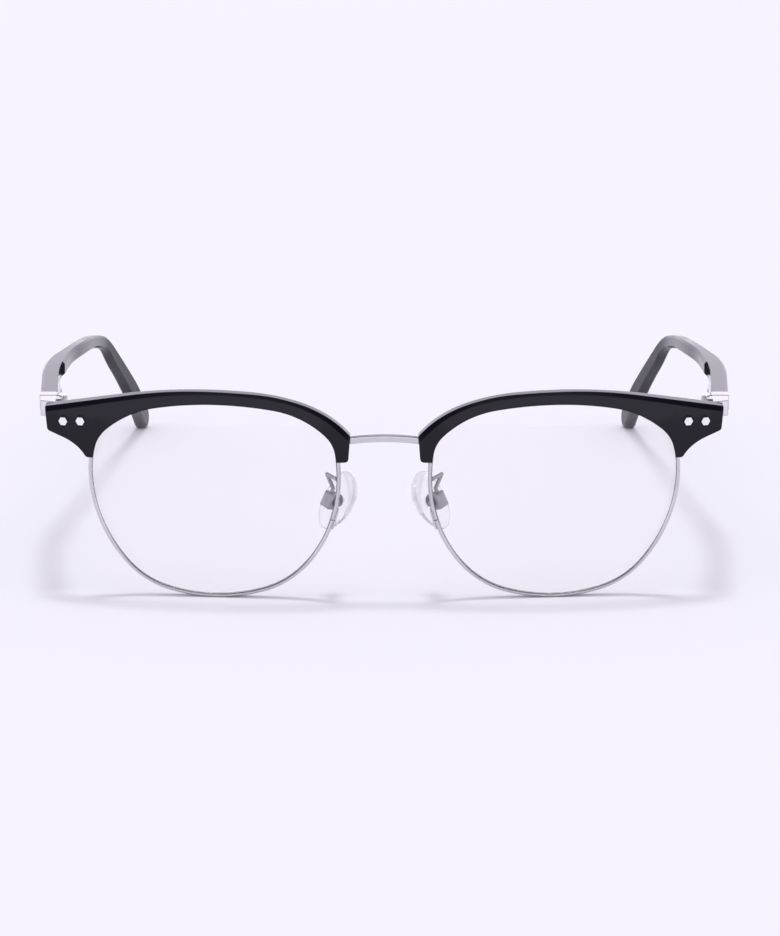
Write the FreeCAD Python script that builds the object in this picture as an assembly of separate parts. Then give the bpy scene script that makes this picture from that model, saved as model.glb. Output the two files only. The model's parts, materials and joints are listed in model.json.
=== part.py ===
import FreeCAD, Part
import math
import os

V = FreeCAD.Vector

# Browline glasses standing open on a table: X to the wearer's left, Y to the wearer's face, Z up.
# Millimetres and degrees. The wearer's left side is modelled, and mirrored for the right.

# Lens and rim
LENS_WIDTH = 51.0
LENS_HEIGHT = 41.0
NOSE_GAP = 19.0
LENS_THICKNESS = 1.7
LENS_SET_BACK = 0.15
TONGUE_THICKNESS = 0.7
TONGUE_SET_BACK = 0.6
BASE_CURVE_RADIUS = 132.0
FACE_WRAP = 5.0
RIM_WALL = 0.56
GROOVE_DEPTH = 0.3
RIM_DEPTH = 2.0
RIM_CHAMFER = 0.3

# Lens outline, from its lowest point round by the temple side: shares of the half width and the
# half height from the middle of the lens, and the way the edge runs in that square
NASAL_NODE = (-1, 0.23, 270)
LOWER_NASAL_NODE = (-0.715, -0.69, 308)
LENS_OUTLINE = (
    (0, -1, 0),
    (0.71, -0.67, 55),
    (1, 0.275, 90),
    (0.875, 0.71, 133),
    (0.015, 1, 180),
    (-0.905, 0.68, 230),
    NASAL_NODE,
    LOWER_NASAL_NODE,
)

# Brow: black sheet carried on the upper half of the rim
BROW_AHEAD = 1.3
BROW_DEPTH = 3.2
RIM_SHOWN = 0.05
BROW_RISE = 2.15
BROW_PEAK_SHIFT = 1.6
BROW_SHOULDER_ACROSS = -0.70
BROW_SHOULDER_DROP = 0.33
BROW_SHOULDER_WAY = 198.5
BEVEL_END = (1.05, 0.5)
BEVEL_PEAK = (0.3, 1.0)
BEVEL_SHOULDER = (0.45, 0.9)
BEVEL_NOSE = (1.1, 0.6)
BEVEL_OVERCUT = 0.5
BROW_CORNER_ROUNDING = 0.3
BROW_FOOT_ROUNDING = 0.8
BROW_END_REACH = 9.0
BROW_END_DROP = 2.45
BROW_END_HEIGHT = 4.7
BROW_END_LEAN = 0.5
BROW_END_WAY = 168.0
BROW_TIP_DROP = 12.2
BROW_TIP_LIP = 0.4
BROW_TIP_WAY = 60.0
BROW_UNDER_LENGTH = 3.6
BROW_UNDER_WAY = 20.5
BROW_NOSE_LIP = 2.5
BROW_NOSE_DROP = 6.95
BROW_NOSE_LEAN = 0.4
BROW_NOSE_WAY = 229.0

# Hexagon-headed screws that hold the brow to the end piece
SCREW_COUNT = 2
SCREW_SIDES = 6
SCREW_PITCH = 3.6
SCREW_EDGE = 3.9
SCREW_DROP = 2.63
SCREW_RISE = 0.26
SCREW_SHANK_RADIUS = 0.5
SCREW_HEAD_RADIUS = 1.0
SCREW_HEAD_HEIGHT = 0.6
SCREW_HEAD_SUNK = 0.3
SCREW_HEAD_CHAMFER = 0.08
SCREW_SEAT_RADIUS = 1.08
SCREW_BLIND_WALL = 0.5

# End piece: a plate let into the back of the brow, and a block that runs back to the hinge
END_PLATE_SET_BACK = 0.4
END_PLATE_THICKNESS = 1.9
END_PLATE_MARGIN = 0.9
END_BLOCK_LENGTH = 5.0
END_TAPER = 0.6
END_ROUNDING = 0.5

# Hinge with an upright pin: two knuckles on the front, one on the temple
HINGE_INSET = 3.15
HINGE_GAP = 0.25
BARREL_RADIUS = 1.0
BARREL_CLEARANCE = 0.2
KNUCKLE_COUNT = 3
KNUCKLE_HEIGHT = 0.9
KNUCKLE_PLAY = 0.05
PIN_RADIUS = 0.6
PIN_HEAD_RADIUS = 0.85
PIN_HEAD_HEIGHT = 0.35
PIN_SLOT_WIDTH = 0.25
PIN_SLOT_DEPTH = 0.2
WEB_LENGTH = 2.6
LEAF_THICKNESS = 0.6
LEAF_LENGTH = 8.0
LEAF_SET_BACK = 1.4
LEAF_MARGIN = 0.3
RIVET_COUNT = 2
RIVET_RADIUS = 0.45
RIVET_HEAD_RADIUS = 0.75
RIVET_HEAD_HEIGHT = 0.2
RIVET_DEPTH = 0.9
RIVET_PITCH = 3.6
RIVET_EDGE = 2.2

# Temple in plan: cap, straight front stretch, step on the inner face, bend and tip
TEMPLE_THICKNESS = 3.5
CAP_LENGTH = 3.1
CAP_OVERHANG = 0.15
CAP_CORNER_RADIUS = 0.8
FRONT_WAY = 3.6
STEP_LENGTH = 38.0
STEP_SHIFT = 1.75
STEP_WAY = -1.5
STEP_DEPTH = 0.6
WAIST_LENGTH = 58.0
WAIST_SHIFT = -0.75
WAIST_WAY = -9.5
WAIST_THICKNESS = 2.75
BEND_LENGTH = 89.0
BEND_SHIFT = -4.85
BEND_WAY = -8.0
BEND_THICKNESS = 2.2
TIP_LENGTH = 130.5
TIP_SHIFT = -11.6
TIP_PLAN_WAY = -10.5
TIP_THICKNESS = 2.6

# Temple from the side
TEMPLE_RISE = 0.35
TEMPLE_HEIGHT = 3.1
TEMPLE_SLOPE = -2.5
WAIST_DROP = 2.75
WAIST_SLOPE = -3.6
BEND_ABOVE_TABLE = 30.5
BEND_SLOPE = -15.5
BEND_HEIGHT = 2.8
KNEE_LENGTH = 105.0
KNEE_ABOVE_TABLE = 21.75
KNEE_SLOPE = -31.5
KNEE_HEIGHT = 3.9
TIP_SLOPE = -46.0
TIP_HEIGHT = 4.9
TEMPLE_CHAMFER = 0.5
CORE_WIDTH = 0.8
CORE_HEIGHT = 1.2
CORE_SHORT_OF_TIP = 9.0

# Bridge bar
BRIDGE_HEIGHT = 1.5
BRIDGE_DEPTH = 2.7
BRIDGE_DROP = 6.6
BRIDGE_ARCH = 1.2
BRIDGE_BOW = 0.7
BRIDGE_SET_BACK = 0.2
BRIDGE_ROUNDING = 0.45

# Lock that closes the rim round the lens
LOCK_SHARE = 0.86
LOCK_SPLIT = 0.15
LOCK_LENGTH = 1.9
LOCK_REACH = 0.4
LOCK_SET_BACK = 0.35
LOCK_DEPTH = 3.3
LOCK_SCREW_BACK = 2.55
LOCK_SCREW_RADIUS = 0.3
LOCK_HEAD_RADIUS = 0.4
LOCK_HEAD_HEIGHT = 0.6
LOCK_ROUNDING = 0.2

# Nose pad, its box, and the wire arm that carries it
PAD_INSET = 0.2
PAD_BACK = 7.8
PAD_DROP = 2.0
PAD_TURN = 46.0
PAD_SPLAY = 23.0
PAD_HEIGHT = 13.2
PAD_WIDTH = 8.0
PAD_THICKNESS = 2.1
PAD_CROWN_RADIUS = 16.0
PAD_CHAMFER = 0.35
PAD_TIP_SHIFT = 0.6
PAD_BELLY_DROP = 1.1
PAD_HEEL_RISE = 1.65
PAD_AXIS_OFF = 2.4
PAD_SCREW_RADIUS = 0.45
PAD_SCREW_HEAD_RADIUS = 0.9
PAD_SCREW_HEAD_HEIGHT = 0.5
BOX_WALL = 0.65
BOX_FLOOR = 0.6
BOX_HEIGHT = 3.2
EYE_RADIUS = 0.85
EYE_THICKNESS = 1.0
EYE_SIDE_PLAY = 0.12
EYE_END_PLAY = 0.25
STEM_HEIGHT = 1.3
FOOT_RADIUS = 1.5
FOOT_DEPTH = 0.5
ARM_RADIUS = 0.42
ARM_RISE = 4.1
ARM_SPREAD = 2.4
ARM_LENGTH = 5.0
ARM_RUN_IN = 1.0

# Clearances
FIT = 0.03
RUNNING_FIT = 0.04
TOUCH = 0.01
TINY = 1e-6
FAR = 200.0

# Places worked out from the sizes above
LENS_X = (LENS_WIDTH + NOSE_GAP) / 2
LENS_Z = RIM_WALL + LENS_HEIGHT / 2
LENS_TOP = LENS_Z + LENS_HEIGHT / 2
RIM_OUTSIDE_X = LENS_X + LENS_WIDTH / 2 + RIM_WALL
WRAP = math.radians(FACE_WRAP)
CURVE_CENTRE = V(LENS_X - BASE_CURVE_RADIUS * math.sin(WRAP), BASE_CURVE_RADIUS * math.cos(WRAP), LENS_Z)
BROW_BACK = BROW_DEPTH - BROW_AHEAD
BROW_END_X = RIM_OUTSIDE_X + BROW_END_REACH
BROW_END_TOP = LENS_TOP - BROW_END_DROP
BROW_NOSE_X = NOSE_GAP / 2 - BROW_NOSE_LIP
TEMPLE_TOP = BROW_END_TOP + TEMPLE_RISE
TEMPLE_BOTTOM = TEMPLE_TOP - TEMPLE_HEIGHT
TEMPLE_MIDDLE_Z = TEMPLE_TOP - TEMPLE_HEIGHT / 2


# Outlines: runs of arcs and straight lines in a plane, each a start, the way it leaves and an end

def way(degrees):
    return V(math.cos(math.radians(degrees)), math.sin(math.radians(degrees)), 0)


def right_of(direction):
    return V(direction.y, -direction.x, 0)


def half_turn(run):
    """Half the angle that a run turns through, positive to the left."""
    start, leave, end = run
    chord = end - start
    return math.atan2(leave.x * chord.y - leave.y * chord.x, leave.dot(chord))


def end_way(run):
    leave = run[1]
    return way(math.degrees(math.atan2(leave.y, leave.x) + 2 * half_turn(run)))


def line(start, end):
    return [(start, (end - start).normalize(), end)]


def biarc(start, leave, end, arrive):
    """Two arcs that meet smoothly, between two points with given ways."""
    across = end - start
    along = across.dot(leave + arrive)
    spread = 2 * (leave.dot(arrive) - 1)
    if abs(spread) < TINY:
        reach = across.dot(across) / (2 * along)
    else:
        reach = (along - math.sqrt(along ** 2 - spread * across.dot(across))) / spread
    first_corner = start + leave * reach
    last_corner = end - arrive * reach
    joint = (first_corner + last_corner) * 0.5
    return [(start, leave, joint), (joint, (last_corner - first_corner).normalize(), end)]


def smooth(nodes):
    """Runs through nodes, each a point and a way."""
    runs = []
    for (start, leave), (end, arrive) in zip(nodes, nodes[1:]):
        runs += biarc(start, leave, end, arrive)
    return runs


def partway(run, share):
    """The point at a share of an arc's length, and its way there."""
    start, leave, end = run
    bend = half_turn(run)
    heading = math.degrees(math.atan2(leave.y, leave.x))
    turn = math.degrees(bend) * share
    reach = (end - start).Length * math.sin(bend * share) / math.sin(bend)
    return start + way(heading + turn) * reach, way(heading + 2 * turn)


def shifted(runs, distance):
    """The parallel outline, at a distance to the right of each run."""
    return [
        (run[0] + right_of(run[1]) * distance, run[1], run[2] + right_of(end_way(run)) * distance)
        for run in runs
    ]


def turned_back(runs):
    return [(run[2], end_way(run) * -1, run[0]) for run in reversed(runs)]


def polygon(points):
    runs = []
    for first, last in zip(points, points[1:] + points[:1]):
        runs += line(first, last)
    return runs


def band(left, right):
    """The closed outline between two sets of runs that go the same way."""
    back = turned_back(left)
    return right + line(right[-1][2], back[0][0]) + back + line(back[-1][2], right[0][0])


def run_edge(run, place):
    start, leave, end = run
    bend = half_turn(run)
    if abs(bend) < TINY:
        return Part.LineSegment(place(start), place(end)).toShape()
    middle = (start + end) * 0.5 + right_of(end - start) * (math.tan(bend / 2) / 2)
    return Part.Arc(place(start), place(middle), place(end)).toShape()


def prism(runs, place, along):
    """The solid swept by a closed outline."""
    edges = [run_edge(run, place) for run in runs]
    return Part.Face(Part.Wire(edges)).extrude(along)


def from_front(runs):
    return prism(runs, lambda p: V(p.x, -FAR / 4, p.y), V(0, FAR / 2, 0))


def from_side(runs):
    return prism(runs, lambda p: V(0, p.x, p.y), V(FAR, 0, 0))


def from_top(runs, bottom=-FAR / 4, top=FAR / 2):
    return prism(runs, lambda p: V(p.y, p.x, bottom), V(0, 0, top - bottom))


# Solids used by several pieces

def box(x0, x1, y0, y1, z0, z1):
    return Part.makeBox(x1 - x0, y1 - y0, z1 - z0, V(x0, y0, z0))


def curve_ball(behind):
    """The ball whose front is the lens curve, moved back from the front of the rim."""
    return Part.makeSphere(BASE_CURVE_RADIUS - behind, CURVE_CENTRE)


def layer(solid, front, back):
    """The part of a solid between two depths behind the front of the rim."""
    return solid.common(curve_ball(front)).cut(curve_ball(back))


def curve_y(x, z, behind=0.0):
    radius = BASE_CURVE_RADIUS - behind
    return CURVE_CENTRE.y - math.sqrt(radius ** 2 - (x - CURVE_CENTRE.x) ** 2 - (z - CURVE_CENTRE.z) ** 2)


def edges_where(shape, test):
    return [edge for edge in shape.Edges if test(edge)]


def on_ball(behind):
    """A test for edges that lie on the curve at a depth."""
    radius = BASE_CURVE_RADIUS - behind

    def test(edge):
        gaps = [abs((point - CURVE_CENTRE).Length - radius) for point in edge.discretize(3)]
        return max(gaps) < TOUCH
    return test


def at_points(points):
    """A test for edges along Y that stand at given points of the front view."""
    def test(edge):
        middle = edge.CenterOfMass
        return any((V(middle.x, middle.z, 0) - point).Length < TOUCH for point in points)
    return test


# Lens and eyewire

def lens_node(node):
    """A node of the lens outline at its real place, with its way."""
    across, up, degrees = node
    point = V(LENS_X + across * LENS_WIDTH / 2, LENS_Z + up * LENS_HEIGHT / 2, 0)
    return point, V(way(degrees).x * LENS_WIDTH, way(degrees).y * LENS_HEIGHT, 0).normalize()


LENS_EDGE = smooth([lens_node(node) for node in LENS_OUTLINE + LENS_OUTLINE[:1]])
RIM_OUTER = shifted(LENS_EDGE, RIM_WALL)
RIM_INNER = shifted(LENS_EDGE, -GROOVE_DEPTH)
BROW_INNER = shifted(LENS_EDGE, RIM_SHOWN - GROOVE_DEPTH)


def tongue(play):
    """The edge of the lens that stands in the groove of the rim."""
    blank = from_front(shifted(LENS_EDGE, play - FIT))
    return layer(blank, TONGUE_SET_BACK - play, TONGUE_SET_BACK + TONGUE_THICKNESS + play)


def make_lens():
    body = from_front(shifted(RIM_INNER, -FIT))
    body = layer(body, LENS_SET_BACK, LENS_SET_BACK + LENS_THICKNESS)
    return body.fuse(tongue(0.0)).removeSplitter()


def make_eyewire():
    ring = from_front(RIM_OUTER).cut(from_front(RIM_INNER))
    ring = layer(ring, 0, RIM_DEPTH)
    ring = ring.makeChamfer(RIM_CHAMFER, edges_where(ring, on_ball(0)))
    split = beside_rim(-LOCK_SPLIT / 2, LOCK_SPLIT / 2, -RIM_DEPTH, RIM_DEPTH, -RIM_DEPTH, 2 * RIM_DEPTH)
    return ring.cut(tongue(FIT)).cut(split)


def rim_space(play):
    """The eyewire and all that it surrounds, from its front back."""
    return layer(from_front(shifted(RIM_OUTER, play)), -play, FAR / 4)


# Rim lock: two halves brazed to the rim on each side of its split, and their screw

NASAL_ARC = biarc(*lens_node(NASAL_NODE), *lens_node(LOWER_NASAL_NODE))[0]
LOCK_PLACE, LOCK_RUN = partway(NASAL_ARC, LOCK_SHARE)
LOCK_FRONT = curve_y(LOCK_PLACE.x, LOCK_PLACE.y) + LOCK_SET_BACK
LOCK_END = LOCK_SPLIT / 2 + LOCK_LENGTH


def beside_rim(start, end, inner, outer, front, back):
    """A block at the lock, by lengths along the lens edge and out from it."""
    out = right_of(LOCK_RUN)
    low = LOCK_PLACE + LOCK_RUN * start
    high = LOCK_PLACE + LOCK_RUN * end
    corners = [low + out * inner, low + out * outer, high + out * outer, high + out * inner]
    return prism(polygon(corners), lambda p: V(p.x, LOCK_FRONT + front, p.y), V(0, back - front, 0))


def lock_rod(radius, start, end):
    middle = LOCK_PLACE + right_of(LOCK_RUN) * ((RIM_WALL + LOCK_REACH - GROOVE_DEPTH) / 2)
    centre = V(middle.x, LOCK_FRONT + LOCK_SCREW_BACK, middle.y)
    along = V(LOCK_RUN.x, 0, LOCK_RUN.y)
    return Part.makeCylinder(radius, end - start, centre + along * start, along)


def lock_screw(play):
    shank = lock_rod(LOCK_SCREW_RADIUS + play, -LOCK_END, LOCK_END)
    head = lock_rod(LOCK_HEAD_RADIUS + play, LOCK_END - LOCK_HEAD_HEIGHT - play, LOCK_END)
    return shank.fuse(head).removeSplitter()


def make_lock_half(start, end):
    block = beside_rim(start, end, -GROOVE_DEPTH, RIM_WALL + LOCK_REACH, 0, LOCK_DEPTH)
    out = right_of(LOCK_RUN)

    def outer(edge):
        point = V(edge.CenterOfMass.x, edge.CenterOfMass.z, 0)
        return (point - LOCK_PLACE).dot(out) > RIM_WALL + LOCK_REACH - FIT
    block = block.makeFillet(LOCK_ROUNDING, edges_where(block, outer))
    rim = layer(from_front(shifted(RIM_OUTER, FIT)), -FIT, RIM_DEPTH + FIT)
    return block.cut(rim).cut(lock_screw(FIT))


# Brow and its screws

def brow_corners():
    """The tip beside the rim, the outer end's foot and top, and the nose end's top and foot."""
    foot_z = LENS_TOP - BROW_TIP_DROP
    return [
        V(RIM_OUTSIDE_X + BROW_TIP_LIP, foot_z, 0),
        V(BROW_END_X - BROW_END_LEAN, BROW_END_TOP - BROW_END_HEIGHT, 0),
        V(BROW_END_X, BROW_END_TOP, 0),
        V(BROW_NOSE_X, LENS_TOP - BROW_NOSE_DROP, 0),
        V(BROW_NOSE_X + BROW_NOSE_LEAN, foot_z, 0),
    ]


def brow_top():
    """The upper edge of the brow, from its outer end to the nose, in nodes."""
    end_top, nose_top = brow_corners()[2:4]
    peak = V(LENS_X + BROW_PEAK_SHIFT, LENS_TOP + BROW_RISE, 0)
    shoulder = V(LENS_X + BROW_SHOULDER_ACROSS * LENS_WIDTH / 2, LENS_TOP - BROW_SHOULDER_DROP, 0)
    return [
        (end_top, way(BROW_END_WAY)),
        (peak, way(180)),
        (shoulder, way(BROW_SHOULDER_WAY)),
        (nose_top, way(BROW_NOSE_WAY)),
    ]


def brow_outline():
    tip, end_foot, end_top, nose_top, nose_foot = brow_corners()
    under = end_foot - way(BROW_UNDER_WAY) * BROW_UNDER_LENGTH
    runs = biarc(tip, way(BROW_TIP_WAY), under, way(BROW_UNDER_WAY))
    runs += line(under, end_foot)
    runs += line(end_foot, end_top)
    runs += smooth(brow_top())
    return runs + line(nose_top, nose_foot) + line(nose_foot, tip)


def bevel_section(point, leave, drop, depth):
    """A three-sided section of what the bevel takes off, square to the upper edge."""
    more = BEVEL_OVERCUT
    out = right_of(leave) * drop
    corners = []
    for across, behind in ((-1 - more, -more), (more, 1 + more), (more, -more)):
        place = point + out * across
        y = curve_y(place.x, place.y, behind * depth - BROW_AHEAD)
        corners.append(V(place.x, y, place.y))
    return Part.makePolygon(corners + corners[:1])


def brow_bevel():
    """What is taken off the front's upper edge: wide at both ends, narrow over the lens."""
    nodes = brow_top()
    sizes = [V(*size) for size in (BEVEL_END, BEVEL_PEAK, BEVEL_SHOULDER, BEVEL_NOSE)]
    start, leave = nodes[0]
    sections = [bevel_section(start - leave * BROW_DEPTH, leave, *BEVEL_END)]
    for index, run in enumerate(smooth(nodes)):
        size = (sizes[index // 2] + sizes[(index + 1) // 2]) * 0.5
        sections.append(bevel_section(run[0], run[1], size.x, size.y))
    end, leave = nodes[-1]
    sections.append(bevel_section(end, leave, *BEVEL_NOSE))
    sections.append(bevel_section(end + leave * BROW_DEPTH, leave, *BEVEL_NOSE))
    return Part.makeLoft(sections, True, False)


def make_brow():
    blank = from_front(brow_outline())
    tip, end_foot, end_top, nose_top, nose_foot = brow_corners()
    blank = blank.makeFillet(BROW_FOOT_ROUNDING, edges_where(blank, at_points([tip, end_foot, nose_foot])))
    blank = blank.makeFillet(BROW_CORNER_ROUNDING, edges_where(blank, at_points([end_top, nose_top])))
    brow = layer(blank.cut(from_front(BROW_INNER)), -BROW_AHEAD, BROW_BACK)
    brow = brow.cut(brow_bevel())
    brow = brow.cut(rim_space(FIT)).cut(end_plate(FIT)).cut(bridge_bar(FIT))
    for index in range(SCREW_COUNT):
        brow = brow.cut(screw_rod(index, SCREW_SEAT_RADIUS, -SCREW_HEAD_HEIGHT, SCREW_HEAD_SUNK))
        brow = brow.cut(screw_rod(index, SCREW_SHANK_RADIUS + FIT, 0, BROW_DEPTH))
    return brow


def screw_frame(index):
    """The point of the brow's front under a screw head, and the way the screw goes in."""
    x = BROW_END_X - SCREW_EDGE - index * SCREW_PITCH
    z = BROW_END_TOP - SCREW_DROP + index * SCREW_RISE
    point = V(x, curve_y(x, z, -BROW_AHEAD), z)
    inward = V(CURVE_CENTRE.x - x, CURVE_CENTRE.y - point.y, 0).normalize()
    return point, inward


def screw_rod(index, radius, start, end):
    point, inward = screw_frame(index)
    return Part.makeCylinder(radius, end - start, point + inward * start, inward)


def screw_end():
    return BROW_AHEAD + END_PLATE_SET_BACK + END_PLATE_THICKNESS - SCREW_BLIND_WALL


def make_screw(index):
    point, inward = screw_frame(index)
    sideways = inward.cross(V(0, 0, 1))
    base = point + inward * SCREW_HEAD_SUNK
    corners = []
    for corner in range(SCREW_SIDES):
        turn = way(360 / SCREW_SIDES * corner) * SCREW_HEAD_RADIUS
        corners.append(base + sideways * turn.x + V(0, 0, turn.y))
    head = Part.Face(Part.makePolygon(corners + corners[:1])).extrude(inward * -SCREW_HEAD_HEIGHT)
    top = SCREW_HEAD_SUNK - SCREW_HEAD_HEIGHT + FIT

    def outer_rim(edge):
        return (edge.CenterOfMass - point).dot(inward) < top
    head = head.makeChamfer(SCREW_HEAD_CHAMFER, edges_where(head, outer_rim))
    return head.fuse(screw_rod(index, SCREW_SHANK_RADIUS, SCREW_HEAD_SUNK, screw_end())).removeSplitter()


def make_brow_screws():
    return Part.makeCompound([make_screw(index) for index in range(SCREW_COUNT)])


# End piece

HINGE_X = BROW_END_X - HINGE_INSET
HINGE_Y = curve_y(BROW_END_X, TEMPLE_MIDDLE_Z, BROW_BACK) + END_BLOCK_LENGTH + HINGE_GAP
BLOCK_INSIDE = HINGE_X + BARREL_RADIUS + BARREL_CLEARANCE
BLOCK_OUTSIDE = BLOCK_INSIDE + TEMPLE_THICKNESS
BLOCK_END = HINGE_Y - HINGE_GAP
END_PLATE_BOTTOM = BROW_END_TOP - SCREW_DROP - END_PLATE_MARGIN


def end_plate(play):
    """The plate behind the brow, from the rim out."""
    plate = box(
        LENS_X, BROW_END_X - END_PLATE_MARGIN + play,
        -FAR / 4, FAR / 4,
        END_PLATE_BOTTOM - play, BROW_END_TOP - END_PLATE_MARGIN + play,
    )
    plate = layer(plate, END_PLATE_SET_BACK - play, END_PLATE_SET_BACK + END_PLATE_THICKNESS)
    return plate.cut(from_front(shifted(RIM_OUTER, FIT)))


def upright(radius, bottom, top):
    return Part.makeCylinder(radius, top - bottom, V(HINGE_X, HINGE_Y, bottom))


def knuckle_bottom(index):
    """The underside of a knuckle, counted from the lowest."""
    pitch = KNUCKLE_HEIGHT + KNUCKLE_PLAY
    return TEMPLE_MIDDLE_Z - (KNUCKLE_COUNT * pitch - KNUCKLE_PLAY) / 2 + index * pitch


def knuckle(index, y0, y1):
    """A barrel with the web that joins it to its plate."""
    bottom = knuckle_bottom(index)
    top = bottom + KNUCKLE_HEIGHT
    web = box(HINGE_X, BLOCK_INSIDE - FIT, y0, y1, bottom, top)
    return upright(BARREL_RADIUS, bottom, top).fuse(web)


def make_end_piece():
    front = curve_y(BROW_END_X, TEMPLE_MIDDLE_Z)
    plan = polygon([
        V(front, BLOCK_INSIDE, 0),
        V(BLOCK_END, BLOCK_INSIDE, 0),
        V(BLOCK_END, BLOCK_OUTSIDE, 0),
        V(front, BLOCK_OUTSIDE - END_TAPER, 0),
    ])
    block = from_top(plan, TEMPLE_BOTTOM, TEMPLE_TOP)

    def outer_corner(edge):
        middle = edge.CenterOfMass
        return middle.x > BLOCK_OUTSIDE - FIT and middle.y > BLOCK_END - FIT
    block = block.makeFillet(END_ROUNDING, edges_where(block, outer_corner))
    block = block.common(curve_ball(BROW_BACK + FIT))
    piece = block.fuse(end_plate(0.0))
    for index in range(0, KNUCKLE_COUNT, 2):
        web = knuckle(index, HINGE_Y - WEB_LENGTH, HINGE_Y)
        root = box(
            HINGE_X, BLOCK_INSIDE + FIT,
            HINGE_Y - WEB_LENGTH, BLOCK_END,
            knuckle_bottom(index), knuckle_bottom(index) + KNUCKLE_HEIGHT,
        )
        piece = piece.fuse(web).fuse(root)
    piece = piece.cut(upright(PIN_RADIUS + FIT, TEMPLE_BOTTOM, TEMPLE_TOP))
    for index in range(SCREW_COUNT):
        piece = piece.cut(screw_rod(index, SCREW_SHANK_RADIUS + FIT, 0, screw_end() + FIT))
    return piece.removeSplitter()


def make_hinge_pin():
    bottom = knuckle_bottom(0)
    top = knuckle_bottom(KNUCKLE_COUNT - 1) + KNUCKLE_HEIGHT + FIT
    head_top = top + PIN_HEAD_HEIGHT
    pin = upright(PIN_RADIUS, bottom, top).fuse(upright(PIN_HEAD_RADIUS, top, head_top))
    half = PIN_SLOT_WIDTH / 2
    slot = box(
        HINGE_X - half, HINGE_X + half,
        HINGE_Y - BARREL_RADIUS, HINGE_Y + BARREL_RADIUS,
        head_top - PIN_SLOT_DEPTH, head_top + PIN_SLOT_DEPTH,
    )
    return pin.cut(slot).removeSplitter()


# Temple

CAP_FRONT = HINGE_Y + HINGE_GAP
CAP_BACK = CAP_FRONT + CAP_LENGTH
TEMPLE_FRONT = CAP_BACK + FIT
TEMPLE_MIDDLE_X = BLOCK_INSIDE + TEMPLE_THICKNESS / 2


def front_plan():
    """Points along the middle of the temple in plan, from the cap to the step."""
    start = V(CAP_FRONT, TEMPLE_MIDDLE_X, 0)
    return [
        (start, way(FRONT_WAY)),
        (start + way(FRONT_WAY) * (CAP_LENGTH + LEAF_LENGTH), way(FRONT_WAY)),
        (V(HINGE_Y + STEP_LENGTH, TEMPLE_MIDDLE_X + STEP_SHIFT, 0), way(STEP_WAY)),
    ]


def rear_plan():
    """Points on from the step, to past the tip."""
    tip = V(HINGE_Y + TIP_LENGTH, TEMPLE_MIDDLE_X + TIP_SHIFT, 0)
    return [
        (V(HINGE_Y + WAIST_LENGTH, TEMPLE_MIDDLE_X + WAIST_SHIFT, 0), way(WAIST_WAY)),
        (V(HINGE_Y + BEND_LENGTH, TEMPLE_MIDDLE_X + BEND_SHIFT, 0), way(BEND_WAY)),
        (tip + way(TIP_PLAN_WAY) * TIP_HEIGHT, way(TIP_PLAN_WAY)),
    ]


def beside(nodes, distances):
    """Runs beside the nodes, at a distance to the right of each."""
    return smooth([
        (point + right_of(leave) * distance, leave)
        for (point, leave), distance in zip(nodes, distances)
    ])


def temple_plan():
    """The bar in plan, with the thicker front that the step is cut from."""
    front = front_plan()
    nodes = front + rear_plan()
    halves = [TEMPLE_THICKNESS / 2] * len(front)
    halves += [WAIST_THICKNESS / 2, BEND_THICKNESS / 2, TIP_THICKNESS / 2]
    outer = beside(nodes, [-half for half in halves])
    stepped = [half + STEP_DEPTH for half in halves[:len(front)]] + halves[len(front):]
    return from_top(band(outer, beside(nodes, stepped)))


def step_cut():
    """What the inner face loses between the cap and the step."""
    front = front_plan()
    face = beside(front, [TEMPLE_THICKNESS / 2] * len(front))
    return from_top(band(face, shifted(face, TEMPLE_THICKNESS)))


def side_nodes():
    """Points along the middle of the temple, seen from the side."""
    return [
        (V(CAP_FRONT, TEMPLE_MIDDLE_Z, 0), way(TEMPLE_SLOPE)),
        (V(HINGE_Y + WAIST_LENGTH, TEMPLE_MIDDLE_Z - WAIST_DROP, 0), way(WAIST_SLOPE)),
        (V(HINGE_Y + BEND_LENGTH, BEND_ABOVE_TABLE, 0), way(BEND_SLOPE)),
        (V(HINGE_Y + KNEE_LENGTH, KNEE_ABOVE_TABLE, 0), way(KNEE_SLOPE)),
        (V(HINGE_Y + TIP_LENGTH, TIP_HEIGHT / 2, 0), way(TIP_SLOPE)),
    ]


def temple_side():
    halves = [height / 2 for height in (TEMPLE_HEIGHT, TEMPLE_HEIGHT, BEND_HEIGHT, KNEE_HEIGHT, TIP_HEIGHT)]
    top = beside(side_nodes(), [-half for half in halves])
    bottom = beside(side_nodes(), halves)
    round_end = [(top[-1][2], way(TIP_SLOPE), bottom[-1][2])]
    return from_side(top + round_end + turned_back(bottom) + line(bottom[0][0], top[0][0]))


def core(play):
    """The wire inside the temple, with room round it."""
    half_height = CORE_HEIGHT / 2 + play
    half_width = CORE_WIDTH / 2 + play
    seen = smooth(side_nodes())
    plan = smooth(front_plan() + rear_plan())
    side = from_side(band(shifted(seen, -half_height), shifted(seen, half_height)))
    plan = from_top(band(shifted(plan, -half_width), shifted(plan, half_width)))
    last = HINGE_Y + TIP_LENGTH - CORE_SHORT_OF_TIP + play
    return side.common(plan).common(box(0, FAR, TEMPLE_FRONT, last, -FAR, FAR))


def make_temple():
    bar = temple_plan().common(temple_side())
    bar = bar.common(box(0, FAR, TEMPLE_FRONT, FAR, -FAR, FAR))

    def not_front(edge):
        return edge.CenterOfMass.y > TEMPLE_FRONT + FIT
    bar = bar.makeChamfer(TEMPLE_CHAMFER, edges_where(bar, not_front))
    bar = bar.cut(step_cut()).cut(core(FIT))
    for index in range(RIVET_COUNT):
        bar = bar.cut(leaf_rod(index, RIVET_RADIUS + FIT, -RIVET_DEPTH - FIT, 0))
    return bar


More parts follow.
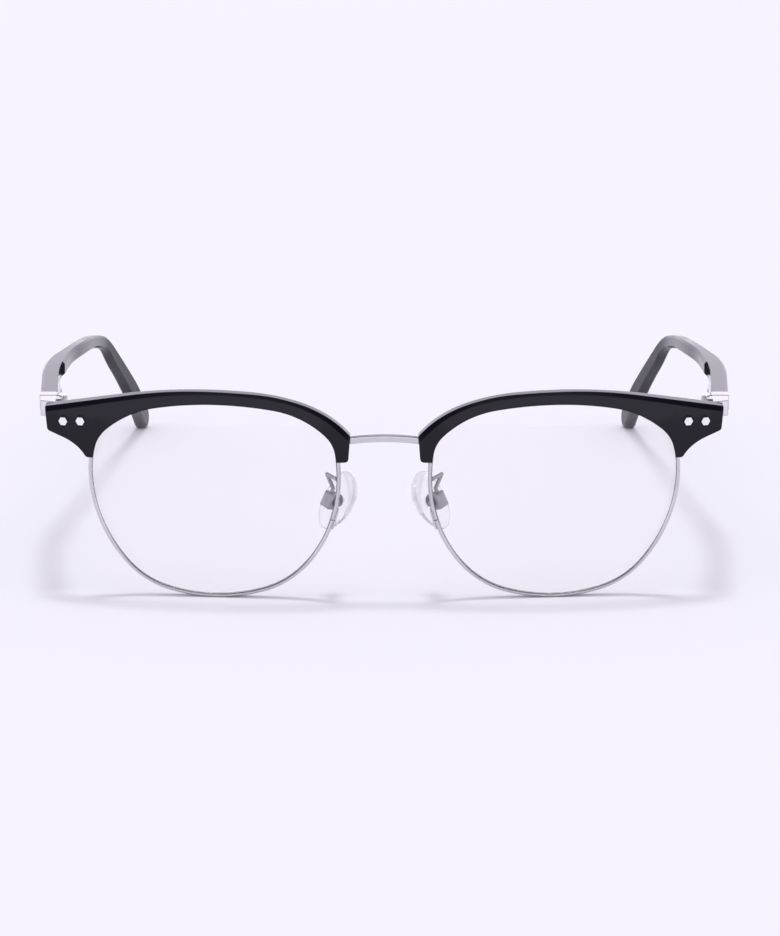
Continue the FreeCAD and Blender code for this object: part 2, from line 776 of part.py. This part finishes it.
def make_temple_cap():
    cap = box(
        BLOCK_INSIDE + FIT, BLOCK_OUTSIDE + CAP_OVERHANG,
        CAP_FRONT, CAP_BACK,
        TEMPLE_BOTTOM, TEMPLE_TOP,
    )

    def inner_corner(edge):
        middle = edge.CenterOfMass
        return middle.x < BLOCK_INSIDE + 2 * FIT and middle.y > CAP_BACK - FIT
    return cap.makeFillet(CAP_CORNER_RADIUS, edges_where(cap, inner_corner))


# Hinge leaf on the inner face of the temple, and its rivets

def leaf_frame():
    """The inner face of the temple's straight front: Y along it, X out through it."""
    turn = FreeCAD.Rotation(V(0, 0, 1), -FRONT_WAY)
    start = V(CAP_FRONT, TEMPLE_MIDDLE_X, 0) + right_of(way(FRONT_WAY)) * (TEMPLE_THICKNESS / 2)
    return FreeCAD.Placement(V(start.y, start.x, 0), turn)


def placed(shape, placement):
    moved = shape.copy()
    moved.Placement = placement.multiply(moved.Placement)
    return moved


def leaf_rod(index, radius, start, end):
    """A rod through the leaf, from a depth inside the temple (below zero) to a height on the leaf."""
    y = CAP_LENGTH + RIVET_EDGE + index * RIVET_PITCH
    z = TEMPLE_MIDDLE_Z
    rod = Part.makeCylinder(radius, end - start, V(-start, y, z), V(-1, 0, 0))
    return placed(rod, leaf_frame())


def make_hinge_leaf():
    low = TEMPLE_BOTTOM + LEAF_MARGIN
    high = TEMPLE_TOP - LEAF_MARGIN
    leaf = box(-LEAF_THICKNESS, -FIT, CAP_LENGTH, CAP_LENGTH + LEAF_LENGTH, low, high)
    leaf = placed(leaf, leaf_frame())
    neck = box(
        BLOCK_INSIDE - LEAF_THICKNESS, BLOCK_INSIDE - FIT,
        HINGE_Y + LEAF_SET_BACK, CAP_BACK + LEAF_THICKNESS,
        low, high,
    )
    piece = leaf.fuse(neck).fuse(knuckle(1, HINGE_Y, HINGE_Y + WEB_LENGTH))
    piece = piece.cut(upright(PIN_RADIUS + RUNNING_FIT, TEMPLE_BOTTOM, TEMPLE_TOP))
    for index in range(RIVET_COUNT):
        piece = piece.cut(leaf_rod(index, RIVET_RADIUS + FIT, 0, 2 * LEAF_THICKNESS))
    return piece.removeSplitter()


def make_hinge_rivets():
    rivets = []
    for index in range(RIVET_COUNT):
        shank = leaf_rod(index, RIVET_RADIUS, -RIVET_DEPTH, LEAF_THICKNESS + FIT)
        head = leaf_rod(
            index, RIVET_HEAD_RADIUS,
            LEAF_THICKNESS + FIT, LEAF_THICKNESS + FIT + RIVET_HEAD_HEIGHT,
        )
        rivets.append(shank.fuse(head).removeSplitter())
    return Part.makeCompound(rivets)


# Bridge

def arched(half_length, rise, middle):
    """A run across the nose that rises from its ends to its middle."""
    angle = math.degrees(2 * math.atan(rise / half_length))
    return [(V(-half_length, middle - rise, 0), way(angle), V(half_length, middle - rise, 0))]


def bridge_bar(play):
    half_length = NOSE_GAP / 2 + 2 * RIM_WALL
    top = arched(half_length, BRIDGE_ARCH, LENS_TOP - BRIDGE_DROP + play)
    front_view = from_front(band(top, shifted(top, BRIDGE_HEIGHT + 2 * play)))
    front = BRIDGE_SET_BACK + curve_y(NOSE_GAP / 2, LENS_TOP - BRIDGE_DROP) - BRIDGE_BOW
    front_edge = arched(half_length, BRIDGE_BOW, play - front)
    back = -front - BRIDGE_DEPTH - play
    back_edge = line(V(-half_length, back, 0), V(half_length, back, 0))
    plan = prism(band(front_edge, back_edge), lambda p: V(p.x, -p.y, 0), V(0, 0, FAR / 2))
    return front_view.common(plan)


def make_bridge():
    bar = bridge_bar(0.0)

    def along_bar(edge):
        return edge.BoundBox.XLength > NOSE_GAP

    def upper(edge):
        return along_bar(edge) and edge.CenterOfMass.z > LENS_TOP - BRIDGE_DROP - BRIDGE_HEIGHT
    bar = bar.makeFillet(BRIDGE_ROUNDING, edges_where(bar, upper))
    rim = from_front(shifted(RIM_OUTER, FIT))
    return bar.cut(rim).cut(mirrored(rim))


# Nose pad, insert, box, screw and arm, made upright at the pad and then set in place

PAD_PLACE = FreeCAD.Placement(
    V(NOSE_GAP / 2 - PAD_INSET, curve_y(NOSE_GAP / 2, LENS_Z) + PAD_BACK, LENS_Z - PAD_DROP),
    FreeCAD.Rotation(V(0, 1, 0), -PAD_SPLAY).multiply(FreeCAD.Rotation(V(0, 0, 1), -PAD_TURN)),
)
SLOT_HALF = EYE_THICKNESS / 2 + EYE_SIDE_PLAY
BOX_HALF = SLOT_HALF + BOX_WALL
BOX_BACK = PAD_AXIS_OFF + EYE_RADIUS + EYE_END_PLAY + BOX_FLOOR


def across_box(radius, start, end):
    return Part.makeCylinder(radius, end - start, V(PAD_AXIS_OFF, start, 0), V(0, 1, 0))


def pad_insert(play):
    foot = Part.makeCylinder(FOOT_RADIUS + play, FOOT_DEPTH + 2 * play, V(-play, 0, 0), V(1, 0, 0))
    half = EYE_THICKNESS / 2 + play
    stem = box(0, PAD_AXIS_OFF, -half, half, -STEM_HEIGHT / 2 - play, STEM_HEIGHT / 2 + play)
    eye = across_box(EYE_RADIUS, -EYE_THICKNESS / 2, EYE_THICKNESS / 2)
    return foot.fuse(stem).fuse(eye)


def make_pad_insert():
    insert = pad_insert(0.0)
    hole = across_box(PAD_SCREW_RADIUS + RUNNING_FIT, -EYE_THICKNESS, EYE_THICKNESS)
    return insert.cut(hole).removeSplitter()


def make_nose_pad():
    half_width = PAD_WIDTH / 2
    half_height = PAD_HEIGHT / 2
    tip = (V(PAD_TIP_SHIFT, -half_height, 0), way(0))
    outline = smooth([
        tip,
        (V(half_width, -PAD_BELLY_DROP, 0), way(90)),
        (V(0, half_height, 0), way(180)),
        (V(-half_width, PAD_HEEL_RISE, 0), way(270)),
        tip,
    ])
    half = PAD_THICKNESS / 2
    pad = prism(outline, lambda p: V(-half, p.x, p.y), V(PAD_THICKNESS, 0, 0))
    pad = pad.common(Part.makeSphere(PAD_CROWN_RADIUS, V(PAD_CROWN_RADIUS - half, 0, 0)))

    def back_edge(edge):
        return edge.CenterOfMass.x > half - FIT
    pad = pad.makeChamfer(PAD_CHAMFER, edges_where(pad, back_edge))
    return pad.cut(pad_insert(FIT))


def make_pad_box():
    half = BOX_HEIGHT / 2
    front = PAD_AXIS_OFF - EYE_RADIUS
    block = box(front, BOX_BACK, -BOX_HALF, BOX_HALF, -half, half)
    slot = box(front, BOX_BACK - BOX_FLOOR, -SLOT_HALF, SLOT_HALF, -half, half)
    return block.cut(slot).cut(across_box(PAD_SCREW_RADIUS + FIT, -BOX_HALF, BOX_HALF))


def make_pad_screw():
    shank = across_box(PAD_SCREW_RADIUS, -BOX_HALF - FIT, BOX_HALF)
    head = across_box(PAD_SCREW_HEAD_RADIUS, -BOX_HALF - FIT - PAD_SCREW_HEAD_HEIGHT, -BOX_HALF - FIT)
    return shank.fuse(head).removeSplitter()


def bent_wire(points, radius):
    """A round wire of straight runs with round elbows."""
    wire = Part.makeSphere(radius, points[1])
    for start, end in zip(points, points[1:]):
        wire = wire.fuse(Part.makeCylinder(radius, (end - start).Length, start, end - start))
    for elbow in points[2:-1]:
        wire = wire.fuse(Part.makeSphere(radius, elbow))
    return wire


def make_pad_arm():
    x = NOSE_GAP / 2
    z = LENS_Z + ARM_RISE
    root = V(x, curve_y(x, z, RIM_DEPTH) - ARM_RADIUS, z)
    bend = root + V(ARM_SPREAD, ARM_LENGTH, 0)
    box_top = BOX_HEIGHT / 2 + FIT
    run_in = PAD_PLACE.multVec(V(BOX_BACK - ARM_RADIUS, 0, box_top + ARM_RUN_IN))
    end = PAD_PLACE.multVec(V(BOX_BACK - ARM_RADIUS, 0, box_top))
    wire = bent_wire([root, bend, run_in, end], ARM_RADIUS)
    return wire.common(curve_ball(RIM_DEPTH + FIT))


# The whole pair of glasses

def mirrored(shape):
    return shape.mirror(V(0, 0, 0), V(1, 0, 0))


def make_side():
    return {
        "lens": make_lens(),
        "eyewire": make_eyewire(),
        "rim_lock_upper": make_lock_half(-LOCK_END, -LOCK_SPLIT / 2),
        "rim_lock_lower": make_lock_half(LOCK_SPLIT / 2, LOCK_END),
        "rim_lock_screw": lock_screw(0.0),
        "brow": make_brow(),
        "brow_screws": make_brow_screws(),
        "end_piece": make_end_piece(),
        "hinge_pin": make_hinge_pin(),
        "hinge_leaf": make_hinge_leaf(),
        "hinge_rivets": make_hinge_rivets(),
        "temple_cap": make_temple_cap(),
        "temple": make_temple(),
        "core_wire": core(0.0),
        "nose_pad": placed(make_nose_pad(), PAD_PLACE),
        "pad_insert": placed(make_pad_insert(), PAD_PLACE),
        "pad_box": placed(make_pad_box(), PAD_PLACE),
        "pad_screw": placed(make_pad_screw(), PAD_PLACE),
        "pad_arm": make_pad_arm(),
    }


def main():
    os.makedirs("parts", exist_ok=True)
    pieces = {"bridge": make_bridge()}
    for name, shape in make_side().items():
        pieces["left_" + name] = shape
        pieces["right_" + name] = mirrored(shape)
    front = pieces["left_brow"].optimalBoundingBox(False, False).YMin
    back = pieces["left_temple"].optimalBoundingBox(False, False).YMax
    centred = V(0, -(front + back) / 2, 0)
    for name, shape in pieces.items():
        shape.translate(centred)
        shape.exportStep("parts/" + name + ".step")
    axis = PAD_PLACE.multVec(V(PAD_AXIS_OFF, 0, 0)) + centred
    print("hinge pin at", V(HINGE_X, HINGE_Y, TEMPLE_MIDDLE_Z) + centred)
    print("pad screw at", axis, "along", PAD_PLACE.Rotation.multVec(V(0, 1, 0)))


main()
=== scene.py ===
import json
import math

import bpy
from mathutils import Matrix, Vector


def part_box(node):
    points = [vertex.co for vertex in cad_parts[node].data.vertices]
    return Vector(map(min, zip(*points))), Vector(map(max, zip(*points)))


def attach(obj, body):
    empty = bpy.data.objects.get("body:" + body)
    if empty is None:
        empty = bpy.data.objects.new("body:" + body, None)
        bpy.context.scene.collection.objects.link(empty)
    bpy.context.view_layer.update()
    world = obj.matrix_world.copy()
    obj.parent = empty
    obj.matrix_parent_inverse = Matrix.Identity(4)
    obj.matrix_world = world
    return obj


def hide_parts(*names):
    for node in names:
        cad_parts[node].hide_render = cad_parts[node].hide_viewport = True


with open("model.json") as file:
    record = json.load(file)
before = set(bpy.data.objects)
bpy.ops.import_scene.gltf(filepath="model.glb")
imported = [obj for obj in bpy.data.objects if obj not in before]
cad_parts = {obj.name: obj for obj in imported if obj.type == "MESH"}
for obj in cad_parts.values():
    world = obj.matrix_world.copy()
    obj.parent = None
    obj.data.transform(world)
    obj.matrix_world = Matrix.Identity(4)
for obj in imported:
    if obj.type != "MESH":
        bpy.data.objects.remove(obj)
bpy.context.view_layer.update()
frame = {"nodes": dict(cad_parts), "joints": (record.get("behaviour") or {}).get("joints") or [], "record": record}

nodes = frame["nodes"]
joints = {joint["name"]: joint for joint in frame["joints"]}

# Browline glasses seen from the front. Metres and degrees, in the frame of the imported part.
MM = 0.001

# Camera, by what it looks at behind the front of the brow
SENSOR_SIZE = 36.0
LENS_LENGTH = 168.75
VIEW_PITCH = 14.5
VIEW_DISTANCE = 900 * MM
VIEW_ACROSS = 1.17 * MM
VIEW_BEHIND_BROW = 0.78 * MM
VIEW_HEIGHT = 28.1 * MM

# Floor
FLOOR_COLOUR = (0.894, 0.889, 0.95, 1)
FLOOR_SHADE = 0.995
FLOOR_CLOUD = 400.0
FLOOR_ROUGHNESS = 0.9
FLOOR_SIZE = 8.0

# Sky: a bright horizon, a dim ceiling and a pale panel overhead,
# by the height of a direction from 0 to 1
SKY_COLOUR = (0.96, 0.905, 1.03, 1)
SEEN_STRENGTH = 0.96
HORIZON_TOP = 0.28
HORIZON_FADED = 0.52
HORIZON_STRENGTH = 1.42
CEILING_STRENGTH = 0.2
PANEL_LOW = 0.90
PANEL_HIGH = 0.96
PANEL_STRENGTH = 0.9

# Lamps
BROAD_WIDTH = 120.0
BROAD_STRENGTH = 0.96
KEY_WIDTH = 11.0
KEY_STRENGTH = 0.77
KEY_TILT = -11.0

# Textures: spots, depths and soft edges in millimetres
NOISE_DETAIL = 3.0
NOISE_RANGE = (0.3, 0.7)
EDGE_SAMPLES = 6

# Black acetate
ACETATE_INDEX = 1.36
ACETATE_DARK = (0.0008, 0.0007, 0.004, 1)
ACETATE_LIGHT = (0.002, 0.0017, 0.007, 1)
ACETATE_CLOUD = 14.0
ACETATE_POLISH = 1.6
ACETATE_SMOOTH = 0.05
ACETATE_ROUGH = 0.11
ACETATE_WAVE = 3.5
ACETATE_WAVE_DEPTH = 0.004
BROW_EDGE = 0.4
TEMPLE_EDGE = 0.3

# Wear of the temples, by the way back towards their tips
WEAR_START = 20 * MM
WEAR_FULL = 40 * MM
WEAR = 0.35

# Metals, each with its darkest and lightest colour
SILVER = (0.60, 0.585, 0.605, 1), (0.64, 0.625, 0.645, 1)
BRIGHT = (0.90, 0.88, 0.89, 1), (0.95, 0.93, 0.94, 1)
STEEL = (0.52, 0.51, 0.53, 1), (0.62, 0.61, 0.63, 1)
# Pad hardware: the silver painted darker. This is painted shade for the shade and dark reflections round the pad
# arms and boxes, not a darker metal.
PAD_SHADE_SILVER = (0.26, 0.255, 0.27, 1), (0.34, 0.33, 0.345, 1)
METAL_CLOUD = 2.5
METAL_POLISH = 0.6
METAL_SPREAD = 0.1
METAL_GRAIN = 0.08

# Clear pieces, each with its darkest and lightest colour
LENS = (0.992, 0.972, 0.975, 1), (0.997, 0.982, 0.982, 1)
PAD = (0.95, 0.945, 0.955, 1), (0.975, 0.97, 0.98, 1)
CLEAR_CLOUD = 9.0
CLEAR_HAZE = 4.0
CLEAR_WAVE = 6.0
CLEAR_WAVE_DEPTH = 0.002

# Nose pad, in its own frame: X through it from the nose, Y across, Z up
PAD_TURN = 46.0
PAD_SPLAY = 23.0
PAD_AXIS_OFF = 2.4 * MM
PAD_HALF_HEIGHT = 6.6 * MM
PAD_HALF_WIDTH = 4.0 * MM
PAD_HALF_THICKNESS = 1.05 * MM
PAD_CROWN_RADIUS = 16.0 * MM
PAD_TIP_SHIFT = 0.6 * MM
PAD_BELLY = -1.1 * MM
PAD_HEEL = 1.65 * MM
PAD_STEPS = 18

# Rings of the nose pad, from its domed front round the edge to its back:
# share of the outline, share of the way back
PAD_RINGS = (
    (0.25, 0.0), (0.5, 0.0), (0.7, 0.0), (0.84, 0.0), (0.92, 0.03), (0.97, 0.14), (0.993, 0.3),
    (1.0, 0.5), (0.993, 0.7), (0.97, 0.86), (0.92, 0.97), (0.84, 1.0), (0.6, 1.0), (0.3, 1.0),
)


def show(thing):
    bpy.context.scene.collection.objects.link(thing)


# Node trees and materials

class Nodes:
    """The node tree of a material or of the sky."""

    def __init__(self, owner):
        owner.use_nodes = True
        self.tree = owner.node_tree

    def node(self, kind, **values):
        made = self.tree.nodes.new("ShaderNode" + kind)
        for name, value in values.items():
            if name in made.inputs:
                made.inputs[name].default_value = value
            else:
                setattr(made, name, value)
        return made

    def link(self, source, target):
        self.tree.links.new(source, target)

    def joined(self, operation, first, second):
        made = self.node("Math", operation=operation)
        self.link(first, made.inputs[0])
        self.link(second, made.inputs[1])
        return made.outputs["Value"]

    def spread(self, source, limits, values, way="LINEAR"):
        """The source, between two limits, turned into a value between two others."""
        made = self.node("MapRange", interpolation_type=way)
        for socket, value in zip(("From Min", "From Max", "To Min", "To Max"), (*limits, *values)):
            made.inputs[socket].default_value = value
        self.link(source, made.inputs["Value"])
        return made.outputs["Result"]

    def along(self, coordinates, axis):
        parts = self.node("SeparateXYZ")
        self.link(coordinates, parts.inputs["Vector"])
        return parts.outputs[axis]


class Surface(Nodes):
    """A material on one shader, with textures placed in metres on the piece."""

    def __init__(self, name, **sockets):
        self.material = bpy.data.materials.new(name)
        super().__init__(self.material)
        self.shader = self.tree.nodes["Principled BSDF"]
        for socket, value in sockets.items():
            self.shader.inputs[socket.replace("_", " ")].default_value = value
        self.place = self.node("TexCoord").outputs["Object"]

    def noise(self, spot):
        """Noise with spots of a size in millimetres."""
        scaled = self.node("Mapping", Scale=[1 / (spot * MM)] * 3)
        texture = self.node("TexNoise", Scale=1.0, Detail=NOISE_DETAIL)
        self.link(self.place, scaled.inputs["Vector"])
        self.link(scaled.outputs["Vector"], texture.inputs["Vector"])
        return texture.outputs["Fac"]

    def colour(self, source, dark, light):
        ramp = self.node("ValToRGB")
        for element, position, value in zip(ramp.color_ramp.elements, NOISE_RANGE, (dark, light)):
            element.position = position
            element.color = value
        self.link(source, ramp.inputs["Fac"])
        self.link(ramp.outputs["Color"], self.shader.inputs["Base Color"])

    def roughness(self, source, low, high, wear=None):
        """Roughness between two values, with wear added to it."""
        total = self.spread(source, NOISE_RANGE, (low, high))
        if wear:
            total = self.joined("ADD", total, wear)
        self.link(total, self.shader.inputs["Roughness"])

    def relief(self, source, depth, edge=0.0):
        """Small relief of a depth in millimetres, over edges softened by a radius in millimetres."""
        bump = self.node("Bump", Strength=1.0, Distance=depth * MM)
        self.link(source, bump.inputs["Height"])
        if edge:
            soft = self.node("Bevel", samples=EDGE_SAMPLES, Radius=edge * MM)
            self.link(soft.outputs["Normal"], bump.inputs["Normal"])
        self.link(bump.outputs["Normal"], self.shader.inputs["Normal"])

    def lets_light_through(self, tint, share):
        """The clear piece passes a share of light straight on, and casts only a faint shadow."""
        path = self.node("LightPath")
        unseen = self.joined("MAXIMUM", path.outputs["Is Shadow Ray"], path.outputs["Is Diffuse Ray"])
        passed = self.node("Math", operation="MAXIMUM")
        passed.inputs[1].default_value = share
        passing = self.node("BsdfTransparent", Color=tint)
        mixed = self.node("MixShader")
        self.link(unseen, passed.inputs[0])
        self.link(passed.outputs["Value"], mixed.inputs["Fac"])
        self.link(self.shader.outputs["BSDF"], mixed.inputs[1])
        self.link(passing.outputs["BSDF"], mixed.inputs[2])
        self.link(mixed.outputs["Shader"], self.tree.nodes["Material Output"].inputs["Surface"])


def black_acetate(name, edge, worn=False):
    """Polished black sheet with a faint cloud and traces of polishing, duller towards a worn tip."""
    surface = Surface(name, IOR=ACETATE_INDEX)
    wear = None
    if worn:
        back = surface.along(surface.place, "Y")
        wear = surface.spread(back, (WEAR_START, WEAR_FULL), (0, WEAR), "SMOOTHSTEP")
    surface.colour(surface.noise(ACETATE_CLOUD), ACETATE_DARK, ACETATE_LIGHT)
    surface.roughness(surface.noise(ACETATE_POLISH), ACETATE_SMOOTH, ACETATE_ROUGH, wear)
    surface.relief(surface.noise(ACETATE_WAVE), ACETATE_WAVE_DEPTH, edge)
    return surface.material


def metal(name, colours, rough, grain_depth, edge):
    """Plated metal, with a fine grain."""
    surface = Surface(name, Metallic=1.0)
    surface.colour(surface.noise(METAL_CLOUD), *colours)
    low, high = rough * (1 - METAL_SPREAD), rough * (1 + METAL_SPREAD)
    surface.roughness(surface.noise(METAL_POLISH), low, high)
    surface.relief(surface.noise(METAL_GRAIN), grain_depth, edge)
    return surface.material


def clear(name, colours, rough, index, share):
    """Clear moulded plastic, with slight haze, that passes a share of light straight on."""
    surface = Surface(name, Transmission_Weight=1.0, IOR=index)
    surface.colour(surface.noise(CLEAR_CLOUD), *colours)
    surface.roughness(surface.noise(CLEAR_HAZE), 0.0, rough)
    surface.relief(surface.noise(CLEAR_WAVE), CLEAR_WAVE_DEPTH)
    surface.lets_light_through(colours[1], share)
    return surface.material


finishes = {
    "black_acetate": black_acetate("black_acetate", BROW_EDGE),
    "silver_metal": metal("silver_metal", SILVER, rough=0.26, grain_depth=0.0004, edge=0.12),
    "polished_metal": metal("polished_metal", BRIGHT, rough=0.12, grain_depth=0.0002, edge=0.06),
    "screw_steel": metal("screw_steel", BRIGHT, rough=0.2, grain_depth=0.0003, edge=0.06),
    "core_steel": metal("core_steel", STEEL, rough=0.4, grain_depth=0.001, edge=0.05),
    "lens": clear("lens", LENS, rough=0.01, index=1.5, share=0.0),
    "clear_pad": clear("clear_pad", PAD, rough=0.06, index=1.4, share=0.45),
}

# Pieces whose finish differs from the rest of their slot
bar_finish = black_acetate("rounded_acetate", TEMPLE_EDGE, worn=True)
# The pad arms, boxes and screws take the darker silver, as painted shade.
pad_metal_painted_shade = metal("pad_metal_painted_shade", PAD_SHADE_SILVER, rough=0.12, grain_depth=0.0003, edge=0.6)
block_metal = metal("block_metal", SILVER, rough=0.13, grain_depth=0.0002, edge=0.35)
own_finishes = {"bridge": block_metal}
for side in ("left", "right"):
    own_finishes[side + "_temple"] = bar_finish
    for piece in ("end_piece", "temple_cap"):
        own_finishes[side + "_" + piece] = block_metal
    for piece in ("pad_arm", "pad_box", "pad_screw"):
        own_finishes[side + "_" + piece] = pad_metal_painted_shade

for entry in frame["record"]["subparts"]:
    name, slot = entry["node"], entry["material_slot"]
    nodes[name].data.materials.clear()
    nodes[name].data.materials.append(own_finishes.get(name, finishes[slot]))


# Nose pads: clear drop-shaped pads, domed towards the nose, with rounded edges

def pad_outline():
    """Points round the pad, by quarters of ellipses between its foot, belly, top and heel."""
    foot, top = (PAD_TIP_SHIFT, -PAD_HALF_HEIGHT), (0.0, PAD_HALF_HEIGHT)
    belly, heel = (PAD_HALF_WIDTH, PAD_BELLY), (-PAD_HALF_WIDTH, PAD_HEEL)
    points = []
    for quarter, (end, side) in enumerate(((foot, belly), (top, belly), (top, heel), (foot, heel))):
        for step in range(PAD_STEPS):
            turn = math.radians(90 * (quarter + step / PAD_STEPS))
            points.append((
                end[0] + (side[0] - end[0]) * abs(math.sin(turn)),
                side[1] + (end[1] - side[1]) * abs(math.cos(turn)),
            ))
    return points


def pad_point(across, up, back):
    """A point between the domed front of the pad and its flat back."""
    dome = PAD_CROWN_RADIUS - math.sqrt(PAD_CROWN_RADIUS ** 2 - across ** 2 - up ** 2)
    front = dome - PAD_HALF_THICKNESS
    return Vector((front + (PAD_HALF_THICKNESS - front) * back, across, up))


def pad_shape():
    """Points and faces of the pad: rings of its outline between a middle point in front and one behind."""
    outline = pad_outline()
    count = len(outline)
    points = [pad_point(0, 0, 0.0)]
    for scale, back in PAD_RINGS:
        points += [pad_point(across * scale, up * scale, back) for across, up in outline]
    points.append(pad_point(0, 0, 1.0))
    starts = [1 + ring * count for ring in range(len(PAD_RINGS))]
    faces = []
    for index in range(count):
        after = (index + 1) % count
        faces.append((0, starts[0] + after, starts[0] + index))
        for low, high in zip(starts, starts[1:]):
            faces.append((low + index, low + after, high + after, high + index))
        faces.append((len(points) - 1, starts[-1] + index, starts[-1] + after))
    return points, faces


def make_pad(side, mirror):
    """The pad on its screw, mirrored for the right side."""
    points, faces = pad_shape()
    splay = Matrix.Rotation(math.radians(-PAD_SPLAY), 3, "Y")
    turn = splay @ Matrix.Rotation(math.radians(-PAD_TURN), 3, "Z")
    flip = Matrix.Diagonal((mirror, 1, 1))
    screw = flip @ Vector(joints[side + "_pad_rock"]["pos_m"])
    origin = screw - turn @ Vector((PAD_AXIS_OFF, 0, 0))
    placed = [flip @ (origin + turn @ point) for point in points]
    if mirror < 0:
        faces = [tuple(reversed(face)) for face in faces]
    mesh = bpy.data.meshes.new(side + "_clear_pad")
    mesh.from_pydata(placed, [], faces)
    mesh.shade_smooth()
    mesh.materials.append(finishes["clear_pad"])
    pad = bpy.data.objects.new(side + "_clear_pad", mesh)
    show(pad)
    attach(pad, side + "_pad")
    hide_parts(side + "_nose_pad")


make_pad("left", 1)
make_pad("right", -1)


# Stage

def make_floor():
    half = FLOOR_SIZE / 2
    mesh = bpy.data.meshes.new("floor")
    corners = [(-half, -half, 0), (half, -half, 0), (half, half, 0), (-half, half, 0)]
    mesh.from_pydata(corners, [], [(0, 1, 2, 3)])
    surface = Surface("floor", Roughness=FLOOR_ROUGHNESS, Specular_IOR_Level=0.0)
    shade = [share * FLOOR_SHADE for share in FLOOR_COLOUR[:3]] + [1]
    surface.colour(surface.noise(FLOOR_CLOUD), shade, FLOOR_COLOUR)
    mesh.materials.append(surface.material)
    floor = bpy.data.objects.new("floor", mesh)
    show(floor)


def make_sky():
    """Light from all round. Where it is seen directly, it is as pale as the floor."""
    world = bpy.data.worlds.new("sky")
    bpy.context.scene.world = world
    sky = Nodes(world)
    height = sky.along(sky.node("TexCoord").outputs["Generated"], "Z")
    fade = (HORIZON_STRENGTH, CEILING_STRENGTH)
    horizon = sky.spread(height, (HORIZON_TOP, HORIZON_FADED), fade, "SMOOTHSTEP")
    panel = sky.spread(height, (PANEL_LOW, PANEL_HIGH), (0, PANEL_STRENGTH), "SMOOTHSTEP")
    path = sky.node("LightPath")
    direct = sky.joined("MAXIMUM", path.outputs["Is Camera Ray"], path.outputs["Is Transmission Ray"])
    seen = sky.node("Mix", B=SEEN_STRENGTH)
    shader = sky.tree.nodes["Background"]
    shader.inputs["Color"].default_value = SKY_COLOUR
    sky.link(direct, seen.inputs["Factor"])
    sky.link(sky.joined("ADD", horizon, panel), seen.inputs["A"])
    sky.link(seen.outputs["Result"], shader.inputs["Strength"])


def make_lamp(name, width, strength, tilt):
    """A soft light overhead that shows in no reflection."""
    light = bpy.data.lights.new(name, "SUN")
    light.angle = math.radians(width)
    light.energy = strength
    lamp = bpy.data.objects.new(name, light)
    lamp.rotation_euler = (math.radians(tilt), 0, 0)
    lamp.visible_glossy = False
    show(lamp)


def make_camera():
    camera = bpy.data.cameras.new("camera")
    camera.sensor_width = SENSOR_SIZE
    camera.lens = LENS_LENGTH
    seat = bpy.data.objects.new("camera", camera)
    pitch = math.radians(VIEW_PITCH)
    target = Vector((VIEW_ACROSS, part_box("left_brow")[0].y + VIEW_BEHIND_BROW, VIEW_HEIGHT))
    seat.location = target + Vector((0, -math.cos(pitch), math.sin(pitch))) * VIEW_DISTANCE
    seat.rotation_euler = (math.radians(90) - pitch, 0, 0)
    show(seat)
    bpy.context.scene.camera = seat


make_floor()
make_sky()
make_lamp("broad_light", BROAD_WIDTH, BROAD_STRENGTH, 0)
make_lamp("key_light", KEY_WIDTH, KEY_STRENGTH, KEY_TILT)
make_camera()
bpy.context.scene.view_settings.view_transform = "Standard"
